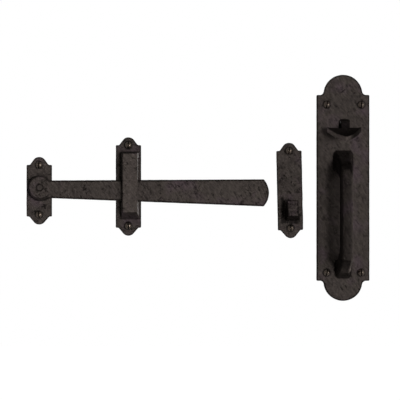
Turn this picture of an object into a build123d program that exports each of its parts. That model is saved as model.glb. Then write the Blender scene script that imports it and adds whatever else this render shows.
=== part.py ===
from build123d import *
import os
from math import asin, cos, radians, sin, sqrt, tan

# A thumb latch for a gate, in cast iron, as one set on one plane.
# Units are millimetres. +X is to the right and +Z is up, as seen from the front.
# Y = 0 is the face of the gate: every plate's back lies on it, and its front faces -Y.
# The origin is the centre of the handle plate's four screws, on the face of the gate.

# Plates
plate_thickness = 3.5
handle_plate_thickness = 4.0
plate_edge_radius = 0.8
plate_corner_radius = 1.2
small_plate_width = 28.0
small_shoulder_radius = 1.8
cast_root_radius = 1.2
cast_overlap = 0.5
cut_margin = 1.0

# The lobes at the two ends of each small plate
top_lobe_rise = 8.7
top_lobe_base = 20.5
top_lobe_crest_radius = 7.7
bottom_lobe_rise = 8.8
bottom_lobe_base = 22.0
bottom_lobe_crest_radius = 7.5

# Screws: round head wood screws with a slot
screw_head_radius = 4.05
screw_head_height = 2.8
screw_rim_height = 0.5
screw_slot_width = 1.3
screw_slot_depth = 1.5
screw_neck_radius = 2.1
screw_thread_radius = 1.75
screw_length = 20.0
screw_point_length = 5.0
screw_neck_past_plate = 0.3
screw_hole_clearance = 0.25
top_screw_inset = 8.9
bottom_screw_inset = 11.1

# Pivot plate and the bar's rivet
pivot_plate_x = -336.2
pivot_plate_z = -2.3
pivot_plate_height = 74.7
rivet_offset_x = 1.5
rivet_offset_z = 3.4
rivet_radius = 2.6
rivet_head_radius = 3.3
rivet_head_height = 1.6
rivet_tail_radius = 4.0
rivet_tail_height = 1.4
rivet_edge_radius = 0.4
rivet_running_clearance = 0.06
rivet_head_clearance = 0.25
rivet_seat_clearance = 0.05

# Latch bar
bar_thickness = 6.0
bar_plate_clearance = 0.4
bar_boss_radius = 13.3
bar_neck_x = 13.1
bar_neck_top = 8.0
bar_neck_bottom = 11.7
bar_neck_radius = 2.0
bar_length = 251.9
bar_tip_bow = 5.9
bar_tip_top = 9.2
bar_tip_bottom = 20.7
bar_tip_corner_radius = 1.8
bar_bevel = 1.7

# Guide plate, with the staple that the bar runs through
guide_plate_x = -237.7
guide_plate_z = 2.4
guide_plate_height = 108.7
staple_offset_x = 2.2
staple_base_width = 21.0
staple_front_width = 16.4
staple_base_top = 37.9
staple_front_top = 36.4
staple_base_bottom = 36.2
staple_front_bottom = 28.8
staple_bar_clearance = 1.6
staple_strap_thickness = 4.0
staple_edge_radius = 1.0
passage_top = 31.5
passage_rest_clearance = 0.3
passage_corner_radius = 2.5

# Catch plate, with the hook that the bar drops into
catch_plate_x = -59.6
catch_plate_z = -2.0
catch_plate_height = 105.3
catch_lean = 1.2
hook_offset_x = 1.9
hook_base_width = 14.0
hook_front_width = 11.4
hook_root_bottom = 33.0
hook_nose_bottom = 28.4
hook_nose_top = 25.4
hook_reach = 17.5
hook_notch_gap = 8.0
hook_notch_floor = 20.0
hook_tip_height = 11.0
hook_tip_thickness = 2.2
hook_edge_radius = 0.7
hook_notch_radius = 1.2

# Handle plate
handle_plate_width = 58.5
handle_plate_height = 249.6
handle_lobe_rise = 22.2
handle_lobe_base = 43.5
handle_lobe_radius = 21.4
handle_shoulder_radius = 4.2
handle_left_screw_inset = 11.25
handle_right_screw_inset = 9.25
handle_top_screw_inset = 33.2
handle_bottom_screw_inset = 31.4
handle_screw_spacing_x = handle_plate_width - handle_left_screw_inset - handle_right_screw_inset
handle_screw_spacing_z = handle_plate_height - handle_top_screw_inset - handle_bottom_screw_inset
handle_plate_x = (handle_right_screw_inset - handle_left_screw_inset) / 2
handle_plate_z = (handle_top_screw_inset - handle_bottom_screw_inset) / 2

# Grip, cast in one with the handle plate
grip_reach = 36.0
grip_depth = 11.0
grip_root_top = 41.4
grip_knee_z = 20.5
grip_heel_z = -77.5
grip_root_bottom = -98.5
grip_upper_leg = 20.0
grip_lower_leg = 17.0
grip_knee_radius = 17.0
grip_heel_radius = 9.0
grip_inner_radius = 8.0
grip_front_width = 13.6
grip_root_width = 20.0
grip_foot_width = 15.5
grip_waist_reach = 24.0
grip_bevel = 2.0

# Thumb lever: pad, neck and tail in one piece, on a pin behind the plate
pin_y = 6.5
pin_z = 68.5
pin_radius = 1.6
pin_overhang = 0.6
pin_seat_clearance = 0.05
pin_running_clearance = 0.08
lug_thickness = 4.0
lug_radius = 4.8
lever_offset_x = 1.5
lever_width = 8.4
lever_side_clearance = 0.4
slot_top = 75.5
slot_bottom = 59.6
slot_corner_radius = 1.0
neck_top = 75.0
neck_bottom = 65.4
neck_shoulder = 1.5
neck_bend_radius = 3.0
neck_into_pad = 3.0
neck_sink = 0.6
hub_radius = 6.5
hood_radius = 3.5
hood_set_forward = 0.5
hood_cover = 1.5
tail_width = 7.0
tail_length = 68.0
tail_root_radius = 5.6
tail_end_radius = 3.6
tail_rise = 1.5
pad_offset_x = -2.0
pad_back_width = 10.4
pad_y = -14.0
pad_z = 66.3
pad_tilt = 25.0
pad_width = 37.8
pad_length = 25.0
pad_thickness = 5.6
pad_hollow_radius = 75.0
pad_tip_setback = 3.6
pad_side_bulge = 2.4
pad_tip_radius = 1.2
pad_edge_radius = 0.7


def lobe(rise, base, crest_radius):
    """A plate's end: a round crest that runs out in straight sides, above a base on the X axis."""
    crest = Pos(0, rise - crest_radius) * CenterArc((0, 0), crest_radius, 0, 360)
    foot = Line((-base / 2, 0), (base / 2, 0))
    return make_hull([crest, foot])


def lobed_outline(width, height, top, bottom, shoulder_radius):
    """The outline that all four plates share: a bar with square shoulders and a lobe at each end."""
    top_rise, top_base, top_crest = top
    bottom_rise, bottom_base, bottom_crest = bottom
    shoulder_top = height / 2 - top_rise
    shoulder_bottom = height / 2 - bottom_rise
    body_height = shoulder_top + shoulder_bottom
    body = Pos(0, (shoulder_top - shoulder_bottom) / 2) * Rectangle(width, body_height)
    outline = body + Pos(0, shoulder_top) * lobe(top_rise, top_base, top_crest)
    outline += Pos(0, -shoulder_bottom) * Rot(0, 0, 180) * lobe(bottom_rise, bottom_base, bottom_crest)
    corners = [v for v in outline.vertices() if abs(v.X) > width / 2 - 0.01]
    outline = fillet(corners, plate_corner_radius)
    hollows = []
    for base, level in ((top_base, shoulder_top), (bottom_base, -shoulder_bottom)):
        for side in (-1, 1):
            root = Vector(side * base / 2, level)
            hollows.append(min(outline.vertices(), key=lambda v: (Vector(v.X, v.Y) - root).length))
    shoulder_width = (width - max(top_base, bottom_base)) / 2
    return fillet(hollows, min(shoulder_radius, shoulder_width - plate_corner_radius))


def plate(outline, thickness):
    """A plate from its outline, with its back on Y = 0 and its front edge rounded."""
    solid = extrude(Plane.XZ * outline, amount=thickness)
    front = solid.faces().sort_by(Axis.Y)[0]
    return fillet(front.edges(), plate_edge_radius)


def round_rod(radius, y_from, y_to):
    """A straight round rod along Y, from one depth to another."""
    length = y_to - y_from
    return Pos(0, (y_from + y_to) / 2, 0) * Rot(90, 0, 0) * Cylinder(radius, length)


def drill(solid, places, thickness):
    """Clearance holes for the screws' necks, right through a plate."""
    hole = round_rod(screw_neck_radius + screw_hole_clearance, -thickness - cut_margin, cut_margin)
    for x, z in places:
        solid -= Pos(x, 0, z) * hole
    return solid


def small_plate(height):
    """One of the three small plates, with its two screw holes, about its own centre."""
    outline = lobed_outline(
        small_plate_width,
        height,
        (top_lobe_rise, top_lobe_base, top_lobe_crest_radius),
        (bottom_lobe_rise, bottom_lobe_base, bottom_lobe_crest_radius),
        small_shoulder_radius,
    )
    return drill(plate(outline, plate_thickness), small_plate_screws(height), plate_thickness)


def small_plate_screws(height):
    """Where a small plate's two screws go, from its own centre: the top one, then the bottom one."""
    return [(0, height / 2 - top_screw_inset), (0, bottom_screw_inset - height / 2)]


def wood_screw(thickness):
    """A screw in a plate of this thickness: its head on the plate's front, its point behind the gate face."""
    under = -thickness
    thread_start = screw_neck_past_plate
    tip = under + screw_length
    crown = under - screw_head_height
    dome_rise = screw_head_height - screw_rim_height
    dome_radius = (screw_head_radius**2 + dome_rise**2) / (2 * dome_rise)
    half_way = asin(screw_head_radius / dome_radius) / 2
    dome = ThreePointArc(
        (screw_head_radius, under - screw_rim_height),
        (dome_radius * sin(half_way), crown + dome_radius * (1 - cos(half_way))),
        (0, crown),
    )
    sides = Polyline(
        (0, crown),
        (0, tip),
        (screw_thread_radius, tip - screw_point_length),
        (screw_thread_radius, thread_start),
        (screw_neck_radius, thread_start),
        (screw_neck_radius, under),
        (screw_head_radius, under),
        (screw_head_radius, under - screw_rim_height),
    )
    screw = revolve(make_face([dome, sides]), Axis.Y)
    slot = Box(screw_slot_width, 2 * screw_slot_depth, 2 * (screw_head_radius + cut_margin))
    return screw - Pos(0, crown, 0) * slot


def slab(face, width):
    """A side view, drawn as Y and Z, made this wide about X = 0."""
    return extrude(Plane.YZ * face, amount=width / 2, both=True)


def rounded_polygon(points, radii):
    """A polygon whose corners are rounded, each by its own radius. Zero leaves a corner sharp."""
    face = make_face(Polyline(*points, close=True))
    for point, radius in zip(points, radii):
        if radius > 0:
            corner = min(face.vertices(), key=lambda v: (Vector(v.X, v.Y) - Vector(*point)).length)
            face = fillet(corner, radius)
    return face


def pivot_plate():
    """The plate that carries the bar's rivet, countersunk at the back for the rivet's tail."""
    solid = small_plate(pivot_plate_height)
    hole = round_rod(rivet_radius + rivet_seat_clearance, -plate_thickness - cut_margin, cut_margin)
    seat = Cone(
        rivet_radius + rivet_seat_clearance,
        rivet_tail_radius + rivet_seat_clearance,
        rivet_tail_height,
    )
    sunk = Pos(0, -rivet_tail_height / 2, 0) * Rot(-90, 0, 0) * seat
    return solid - Pos(rivet_offset_x, 0, rivet_offset_z) * (hole + sunk)


bar_back = -(plate_thickness + bar_plate_clearance)
bar_front = bar_back - bar_thickness
bar_tip_x = bar_length - bar_tip_bow
bar_pivot_x = pivot_plate_x + rivet_offset_x
bar_pivot_z = pivot_plate_z + rivet_offset_z


def pivot_rivet():
    """The rivet, on its own axis: a flush head in the bar, and a tail spread into the plate's back."""
    head_floor = bar_front + rivet_head_height
    profile = make_face(
        Polyline(
            (0, 0),
            (rivet_tail_radius, 0),
            (rivet_radius, -rivet_tail_height),
            (rivet_radius, head_floor),
            (rivet_head_radius, head_floor),
            (rivet_head_radius, bar_front + rivet_edge_radius),
            (rivet_head_radius - rivet_edge_radius, bar_front),
            (0, bar_front),
            close=True,
        )
    )
    return revolve(profile, Axis.Y)


def latch_bar():
    """The bar, with its pivot at X = 0: a round boss, a tapering blade and a bowed tip."""
    blade_top = Line((bar_neck_x, bar_neck_top), (bar_tip_x, bar_tip_top))
    tip = ThreePointArc(
        (bar_tip_x, bar_tip_top),
        (bar_length, (bar_tip_top - bar_tip_bottom) / 2),
        (bar_tip_x, -bar_tip_bottom),
    )
    blade_bottom = Line((bar_tip_x, -bar_tip_bottom), (bar_neck_x, -bar_neck_bottom))
    heel = Polyline(
        (bar_neck_x, -bar_neck_bottom),
        (0, -bar_neck_bottom),
        (0, bar_neck_top),
        (bar_neck_x, bar_neck_top),
    )
    outline = make_face([blade_top, tip, blade_bottom, heel]) + Circle(bar_boss_radius)
    tip_corners = [v for v in outline.vertices() if abs(v.X - bar_tip_x) < 0.01]
    outline = fillet(tip_corners, bar_tip_corner_radius)
    neck_corners = [v for v in outline.vertices() if 0 < v.X <= bar_boss_radius]
    outline = fillet(neck_corners, bar_neck_radius)
    solid = Pos(0, bar_back, 0) * extrude(Plane.XZ * outline, amount=bar_thickness)
    front = solid.faces().sort_by(Axis.Y)[0]
    solid = chamfer(front.edges(), bar_bevel)
    head_floor = bar_front + rivet_head_height + rivet_head_clearance
    before_bar = bar_front - cut_margin
    solid -= round_rod(rivet_radius + rivet_running_clearance, before_bar, bar_back + cut_margin)
    solid -= round_rod(rivet_head_radius + rivet_head_clearance, before_bar, head_floor)
    return solid


def bar_bottom(x):
    """The height of the blade's lower edge at this X, with the bar level."""
    along = (x - bar_pivot_x - bar_neck_x) / (bar_tip_x - bar_neck_x)
    return bar_pivot_z - bar_neck_bottom - along * (bar_tip_bottom - bar_neck_bottom)


staple_back = bar_front - staple_bar_clearance
staple_front = staple_back - staple_strap_thickness
staple_right_x = guide_plate_x + staple_offset_x + staple_base_width / 2
passage_bottom = bar_bottom(staple_right_x) - passage_rest_clearance - guide_plate_z


def cast_root(solid, thickness, reach_x):
    """Round the casting where what stands in the middle of a plate meets the plate's front."""
    roots = []
    for edge in solid.edges().filter_by(GeomType.CIRCLE, reverse=True):
        middle = edge.position_at(0.5)
        if abs(middle.Y + thickness) < 0.01 and abs(middle.X) < reach_x:
            roots.append(edge)
    return fillet(roots, cast_root_radius)


def guide_plate():
    """The guide: a plate with a staple cast on it. At rest the bar lies on its passage's lower end."""
    base = Plane.XZ.offset(plate_thickness - cast_overlap)
    base *= Pos(0, (staple_base_top - staple_base_bottom) / 2)
    base *= Rectangle(staple_base_width, staple_base_top + staple_base_bottom)
    face = Plane.XZ.offset(-staple_front)
    face *= Pos(0, (staple_front_top - staple_front_bottom) / 2)
    face *= Rectangle(staple_front_width, staple_front_top + staple_front_bottom)
    staple = loft([base, face])
    front = staple.faces().sort_by(Axis.Y)[0]
    staple = fillet(front.edges(), staple_edge_radius)
    passage = rounded_polygon(
        [
            (-plate_thickness, passage_bottom),
            (staple_back, passage_bottom),
            (staple_back, passage_top),
            (-plate_thickness, passage_top),
        ],
        [0, passage_corner_radius, passage_corner_radius, 0],
    )
    staple -= slab(passage, 2 * staple_base_width)
    return small_plate(guide_plate_height) + Pos(staple_offset_x, 0, 0) * staple


def catch_plate():
    """The catch: a plate with a hook. The bar climbs its sloped face and drops in behind its tongue."""
    nose_y = -(plate_thickness + hook_reach)
    notch_y = -(plate_thickness + hook_notch_gap)
    tip_y = notch_y - hook_tip_thickness
    inside = cast_overlap - plate_thickness
    side_view = rounded_polygon(
        [
            (inside, -hook_root_bottom),
            (nose_y, -hook_nose_bottom),
            (nose_y, -hook_nose_top),
            (tip_y, -hook_tip_height),
            (notch_y, -hook_tip_height),
            (notch_y, -hook_notch_floor),
            (inside, -hook_notch_floor),
        ],
        [0, hook_edge_radius, hook_edge_radius, hook_edge_radius, hook_edge_radius, hook_notch_radius, 0],
    )
    plan = make_face(
        Polyline(
            (-hook_base_width / 2, inside),
            (hook_base_width / 2, inside),
            (hook_front_width / 2, nose_y),
            (-hook_front_width / 2, nose_y),
            close=True,
        )
    )
    hook = slab(side_view, hook_base_width) & extrude(plan, amount=catch_plate_height, both=True)
    solid = small_plate(catch_plate_height) + Pos(hook_offset_x, 0, 0) * hook
    return cast_root(solid, plate_thickness, hook_base_width)


def grip_plan(root_width):
    """The grip seen from above: straight down to its waist, then flared to this width at the plate."""
    inside = cast_overlap - handle_plate_thickness
    front = -(handle_plate_thickness + grip_reach)
    waist = -(handle_plate_thickness + grip_waist_reach)
    half_front = grip_front_width / 2
    half_root = root_width / 2
    side = Line((half_front, front), (half_front, waist))
    flare = TangentArc((half_front, waist), (half_root, inside), tangent=(0, 1))
    middle = Polyline((half_root, inside), (0, inside), (0, front), (half_front, front))
    half = make_face([side, flare, middle])
    return half + mirror(half, Plane.YZ)


def grip():
    """The grip: a bowed handle on two legs, wide at the root and narrow at the foot, with bevelled edges."""
    inside = cast_overlap - handle_plate_thickness
    front = -(handle_plate_thickness + grip_reach)
    palm = front + grip_depth
    side_view = rounded_polygon(
        [
            (inside, grip_root_top),
            (front, grip_knee_z),
            (front, grip_heel_z),
            (inside, grip_root_bottom),
            (inside, grip_root_bottom + grip_lower_leg),
            (palm, grip_heel_z + grip_depth),
            (palm, grip_knee_z - grip_depth),
            (inside, grip_root_top - grip_upper_leg),
        ],
        [0, grip_knee_radius, grip_heel_radius, 0, 0, grip_inner_radius, grip_inner_radius, 0],
    )
    upper = extrude(grip_plan(grip_root_width), amount=handle_plate_height)
    lower = extrude(grip_plan(grip_foot_width), amount=-handle_plate_height)
    waist_z = (grip_knee_z + grip_heel_z) / 2
    body = slab(side_view, 2 * grip_root_width) & Pos(0, 0, waist_z) * (upper + lower)
    corners = [e for e in body.edges() if is_front_corner(e.position_at(0.5), front)]
    return chamfer(corners, grip_bevel)


def is_front_corner(point, front):
    """Is this point on one of the two long corners of the grip's front?"""
    return point.Y < front + grip_depth / 2 and abs(point.X) > grip_front_width / 2 - cut_margin / 2


lever_x = handle_plate_x + lever_offset_x


def handle_plate():
    """The handle: its plate, the slot for the thumb lever, the lugs behind it and the grip."""
    lobe_sizes = (handle_lobe_rise, handle_lobe_base, handle_lobe_radius)
    outline = lobed_outline(
        handle_plate_width,
        handle_plate_height,
        lobe_sizes,
        lobe_sizes,
        handle_shoulder_radius,
    )
    body = Pos(handle_plate_x, 0, handle_plate_z) * plate(outline, handle_plate_thickness)
    body = drill(body, handle_screws(), handle_plate_thickness)
    slot_width = lever_width + 2 * lever_side_clearance
    slot = RectangleRounded(slot_width, slot_top - slot_bottom, slot_corner_radius)
    slot_place = Plane.XZ.offset(-cut_margin) * Pos(lever_x, (slot_top + slot_bottom) / 2)
    body -= extrude(slot_place * slot, amount=handle_plate_thickness + 2 * cut_margin)
    body += Pos(handle_plate_x, 0, 0) * grip()
    body = cast_root(body, handle_plate_thickness, grip_root_width)
    lug_view = Pos(pin_y / 2, pin_z) * Rectangle(pin_y, 2 * lug_radius)
    lug_view += Pos(pin_y, pin_z) * Circle(lug_radius)
    lug_view -= Pos(pin_y, pin_z) * Circle(pin_radius + pin_seat_clearance)
    for side in (-1, 1):
        lug_x = side * (lever_width / 2 + lever_side_clearance + lug_thickness / 2)
        body += Pos(lever_x + lug_x, 0, 0) * slab(lug_view, lug_thickness)
    return body


def handle_screws():
    """Where the handle's four screws go, from the origin."""
    half_x = handle_screw_spacing_x / 2
    half_z = handle_screw_spacing_z / 2
    return [(-half_x, half_z), (half_x, half_z), (-half_x, -half_z), (half_x, -half_z)]


def thumb_pad():
    """The pad: a leaf that is hollow across, pointed in front and tilted down."""
    half = pad_width / 2
    rise = pad_hollow_radius - sqrt(pad_hollow_radius**2 - half**2)
    under = -pad_thickness
    top = ThreePointArc((-half, rise), (0, 0), (half, rise))
    bottom = ThreePointArc((half, rise + under), (0, under), (-half, rise + under))
    ends = [Line(top @ 1, bottom @ 0), Line(bottom @ 1, top @ 0)]
    band = extrude(Plane.XZ * make_face([top, bottom] + ends), amount=pad_length)
    right = bulged_side((half, -pad_tip_setback), (0, -pad_length), pad_side_bulge)
    left = bulged_side((0, -pad_length), (-half, -pad_tip_setback), pad_side_bulge)
    back = Polyline(
        (-half, -pad_tip_setback),
        (-pad_offset_x - pad_back_width / 2, 0),
        (-pad_offset_x + pad_back_width / 2, 0),
        (half, -pad_tip_setback),
    )
    plan = make_face([right, left, back])
    plan = fillet(plan.vertices().sort_by(Axis.Y)[0], pad_tip_radius)
    leaf = extrude(plan, amount=4 * pad_thickness, both=True)
    pad = band & leaf
    lips = [e for e in pad.edges() if is_lip(e)]
    pad = fillet(lips, pad_edge_radius)
    return Pos(pad_offset_x, pad_y, pad_z) * Rot(pad_tilt, 0, 0) * pad


def is_lip(edge):
    """Is this edge on the pad's pointed front, along its top or bottom?"""
    middle = edge.position_at(0.5)
    return edge.length > 2 * pad_thickness and middle.Y < -pad_length / 2


def bulged_side(start, end, bulge):
    """An arc between two points of the pad's plan that bows outwards by this much in the middle."""
    run = Vector(*end) - Vector(*start)
    outward = Vector(-run.Y, run.X).normalized() * bulge
    middle = Vector(*start) + run * 0.5 + outward
    return ThreePointArc(start, (middle.X, middle.Y), end)


def thumb_lever():
    """The thumb lever: pad and neck in front, and behind a hood that hides the slot's top, and the tail."""
    shoulder = -(handle_plate_thickness + neck_shoulder)
    pad_underside = pad_z - pad_thickness
    inside_pad = pad_z - neck_into_pad * tan(radians(pad_tilt)) - neck_sink
    neck = rounded_polygon(
        [
            (pin_y, neck_top),
            (shoulder, neck_top),
            (pad_y, pad_z),
            (pad_y - neck_into_pad, inside_pad),
            (pad_y - neck_into_pad, pad_underside),
            (pad_y + neck_into_pad, pad_underside),
            (shoulder, neck_bottom),
            (pin_y, neck_bottom),
        ],
        [0, neck_bend_radius, 0, 0, 0, 0, neck_bend_radius, 0],
    )
    hub = Pos(pin_y, pin_z) * Circle(hub_radius)
    hood = Pos(pin_y - hood_set_forward, slot_top + hood_cover - hood_radius) * Circle(hood_radius)
    tail_root = Pos(pin_y, pin_z) * CenterArc((0, 0), tail_root_radius, 0, 360)
    tail_tip = (pin_y + tail_length - tail_end_radius, pin_z + tail_rise)
    tail_end = Pos(*tail_tip) * Rot(0, 0, 180) * CenterArc((0, 0), tail_end_radius, 0, 360)
    tail = make_hull([tail_root, tail_end])
    lever = slab(neck + hub + hood, lever_width) + slab(tail, tail_width) + thumb_pad()
    bore = Rot(0, 90, 0) * Cylinder(pin_radius + pin_running_clearance, 2 * lever_width)
    lever -= Pos(0, pin_y, pin_z) * bore
    return Pos(lever_x, 0, 0) * lever


def thumb_pin():
    """The pin that the thumb lever turns on, through both lugs."""
    length = lever_width + 2 * (lever_side_clearance + lug_thickness + pin_overhang)
    return Pos(lever_x, pin_y, pin_z) * Rot(0, 90, 0) * Cylinder(pin_radius, length)


def place(solid, x, z, lean=0):
    """Move a piece from its own centre to its place on the gate face."""
    return Pos(x, 0, z) * Rot(0, -lean, 0) * solid


parts = {
    "pivot_plate": place(pivot_plate(), pivot_plate_x, pivot_plate_z),
    "pivot_rivet": place(pivot_rivet(), bar_pivot_x, bar_pivot_z),
    "latch_bar": place(latch_bar(), bar_pivot_x, bar_pivot_z),
    "guide_plate": place(guide_plate(), guide_plate_x, guide_plate_z),
    "catch_plate": place(catch_plate(), catch_plate_x, catch_plate_z, catch_lean),
    "handle_plate": handle_plate(),
    "thumb_lever": thumb_lever(),
    "thumb_pin": thumb_pin(),
}

small_screw = wood_screw(plate_thickness)
for name, height, x, z, lean in (
    ("pivot", pivot_plate_height, pivot_plate_x, pivot_plate_z, 0),
    ("guide", guide_plate_height, guide_plate_x, guide_plate_z, 0),
    ("catch", catch_plate_height, catch_plate_x, catch_plate_z, catch_lean),
):
    for end, spot in zip(("top", "bottom"), small_plate_screws(height)):
        screw = Pos(spot[0], 0, spot[1]) * small_screw
        parts[f"{name}_screw_{end}"] = place(screw, x, z, lean)

handle_screw = wood_screw(handle_plate_thickness)
for end, spot in zip(("top_left", "top_right", "bottom_left", "bottom_right"), handle_screws()):
    parts[f"handle_screw_{end}"] = place(handle_screw, spot[0], spot[1])

os.makedirs("parts", exist_ok=True)
for name, solid in parts.items():
    export_step(solid, f"parts/{name}.step")
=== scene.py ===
# %% [markdown]
# # A hammered iron gate latch
# The imported model gives every casting of the latch at its real size and place. This notebook adds
# what a foundry and a finisher add: a hammered skin with dents and soft ridges, black wax that is
# rubbed back on the high spots, and wood screws with real threads and slots. It also paints light
# and shade into the iron's colour: hollows, side walls and outlines are painted dark as shade, and
# some sides and front faces are painted lighter, partly as wear and partly as painted light. We
# work in metres, in the frame of the model: X runs to the right, Z runs up, and -Y faces the
# viewer.

# %% Load the fixed frame
from math import cos, pi, radians, sin

import bmesh
import bpy
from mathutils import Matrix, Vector


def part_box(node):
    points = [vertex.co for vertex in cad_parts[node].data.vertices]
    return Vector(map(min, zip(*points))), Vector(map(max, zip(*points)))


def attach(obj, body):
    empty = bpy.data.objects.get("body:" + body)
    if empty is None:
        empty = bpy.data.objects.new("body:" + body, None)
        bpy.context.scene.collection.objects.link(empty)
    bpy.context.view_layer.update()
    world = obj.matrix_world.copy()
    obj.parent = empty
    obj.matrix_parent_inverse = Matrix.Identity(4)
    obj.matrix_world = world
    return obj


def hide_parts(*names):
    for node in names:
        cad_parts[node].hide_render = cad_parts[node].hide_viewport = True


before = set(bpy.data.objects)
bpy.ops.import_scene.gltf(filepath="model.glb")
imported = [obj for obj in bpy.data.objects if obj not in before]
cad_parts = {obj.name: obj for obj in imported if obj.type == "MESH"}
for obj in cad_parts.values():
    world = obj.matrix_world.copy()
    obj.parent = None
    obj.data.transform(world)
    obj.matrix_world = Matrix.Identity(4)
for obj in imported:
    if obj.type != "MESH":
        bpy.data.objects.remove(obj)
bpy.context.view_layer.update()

MM = 0.001


def mm(*values):
    """Millimetres in metres."""
    return tuple(value * MM for value in values)


# %% [markdown]
# ## One helper for every node
# Shader trees and geometry trees are both made of nodes with settings and links. One small function
# makes a node, sets its properties, and fills its sockets: a value goes into the socket, and
# another node or socket is linked to it. Two more write the commonest nodes in one line: calc for
# arithmetic and remap for a change of range.


# %% Node helper and colours
def add(tree, kind, settings=None, sockets=None):
    """Add a node. In sockets, nodes and outputs are linked, and other values are set."""
    node = tree.nodes.new(kind)
    for name, value in (settings or {}).items():
        setattr(node, name, value)
    for key, value in (sockets or {}).items():
        if isinstance(value, bpy.types.Node):
            value = value.outputs[0]
        if isinstance(value, bpy.types.NodeSocket):
            tree.links.new(value, node.inputs[key])
        else:
            node.inputs[key].default_value = value
    return node


def calc(tree, operation, *values, clamp=False):
    """Add a Math node that works on the values, and keep its result from 0 to 1 with clamp."""
    settings = {"operation": operation, "use_clamp": clamp}
    return add(tree, "ShaderNodeMath", settings, dict(enumerate(values)))


def remap(tree, value, old=(0.0, 1.0), new=(0.0, 1.0), smooth=False):
    """Add a Map Range node that takes the old limits to the new ones, with smooth in an S curve."""
    settings = {"interpolation_type": "SMOOTHSTEP" if smooth else "LINEAR"}
    limits = {"From Min": old[0], "From Max": old[1], "To Min": new[0], "To Max": new[1]}
    return add(tree, "ShaderNodeMapRange", settings, {"Value": value, **limits})


def blank_tree(owner):
    """Give a material or a world an empty node tree."""
    owner.use_nodes = True
    owner.node_tree.nodes.clear()
    return owner.node_tree


def paint(hex_code):
    """The linear colour of an sRGB hex code, as a shader wants it."""
    channels = [int(hex_code[i:i + 2], 16) / 255 for i in (1, 3, 5)]
    return (*[c / 12.92 if c <= 0.04045 else ((c + 0.055) / 1.055) ** 2.4 for c in channels], 1.0)


# %% [markdown]
# ## The camera
# The set is photographed square on, so the camera looks along +Y at the middle of the picture.
# A long lens from 1.25 metres keeps the small perspective that the standing grip shows.

# %% Camera
view_centre = Vector((-158.7, -4.0, -12.5)) * MM
camera_distance = 1250 * MM
picture_width = 440.8 * MM
sensor_width = 36.0

camera = bpy.data.objects.new("camera", bpy.data.cameras.new("camera"))
camera.data.sensor_width = sensor_width
camera.data.lens = sensor_width * camera_distance / picture_width
camera.location = view_centre - Vector((0, camera_distance, 0))
camera.rotation_euler = (radians(90), 0, 0)
bpy.context.scene.collection.objects.link(camera)
bpy.context.scene.camera = camera
print("lens", round(camera.data.lens, 1), "mm")

# %% [markdown]
# ## Waxed cast iron
# The latch is grey iron, cast in sand from a hammered pattern, blackened and waxed by hand. Its
# colour is a very dark brown-black with almost no shine in the hollows and on the rough sides, and
# a soft satin on the high spots. Three attributes from the mesh steer it, and each paints light and
# shade into the colour. The first is 0 in a hollow and 1 on a ridge; the hollows are darkened,
# partly as wax and partly as painted shade. The second is 1 on the side walls and along the plates'
# outlines, which are painted dark as shade and turn matt. The third is 1 on chosen sides and front
# faces, which are painted lighter, partly as wear and partly as painted light. What stands far in
# front of the gate is darker. Fine slanting streaks, too small for the mesh, are a bump, and the
# colour follows them: darker in the low streaks and lighter on their crests, partly as wax and
# partly as painted shade and highlight.

# %% Material of the castings
wax_ior = 1.44
patch_size = 26 * MM      # cloudy patches of brown, plum and green-black wax
grain_size = 1.6 * MM     # sand grain, drawn coarser than real sand so that it shows
grain_depth = 0.05 * MM
streak_size = mm(1.8, 5, 6.5)     # the hammer's fine streaks, too small for the mesh
streak_depth = 0.6 * MM
streak_turn = radians(40)


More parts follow.
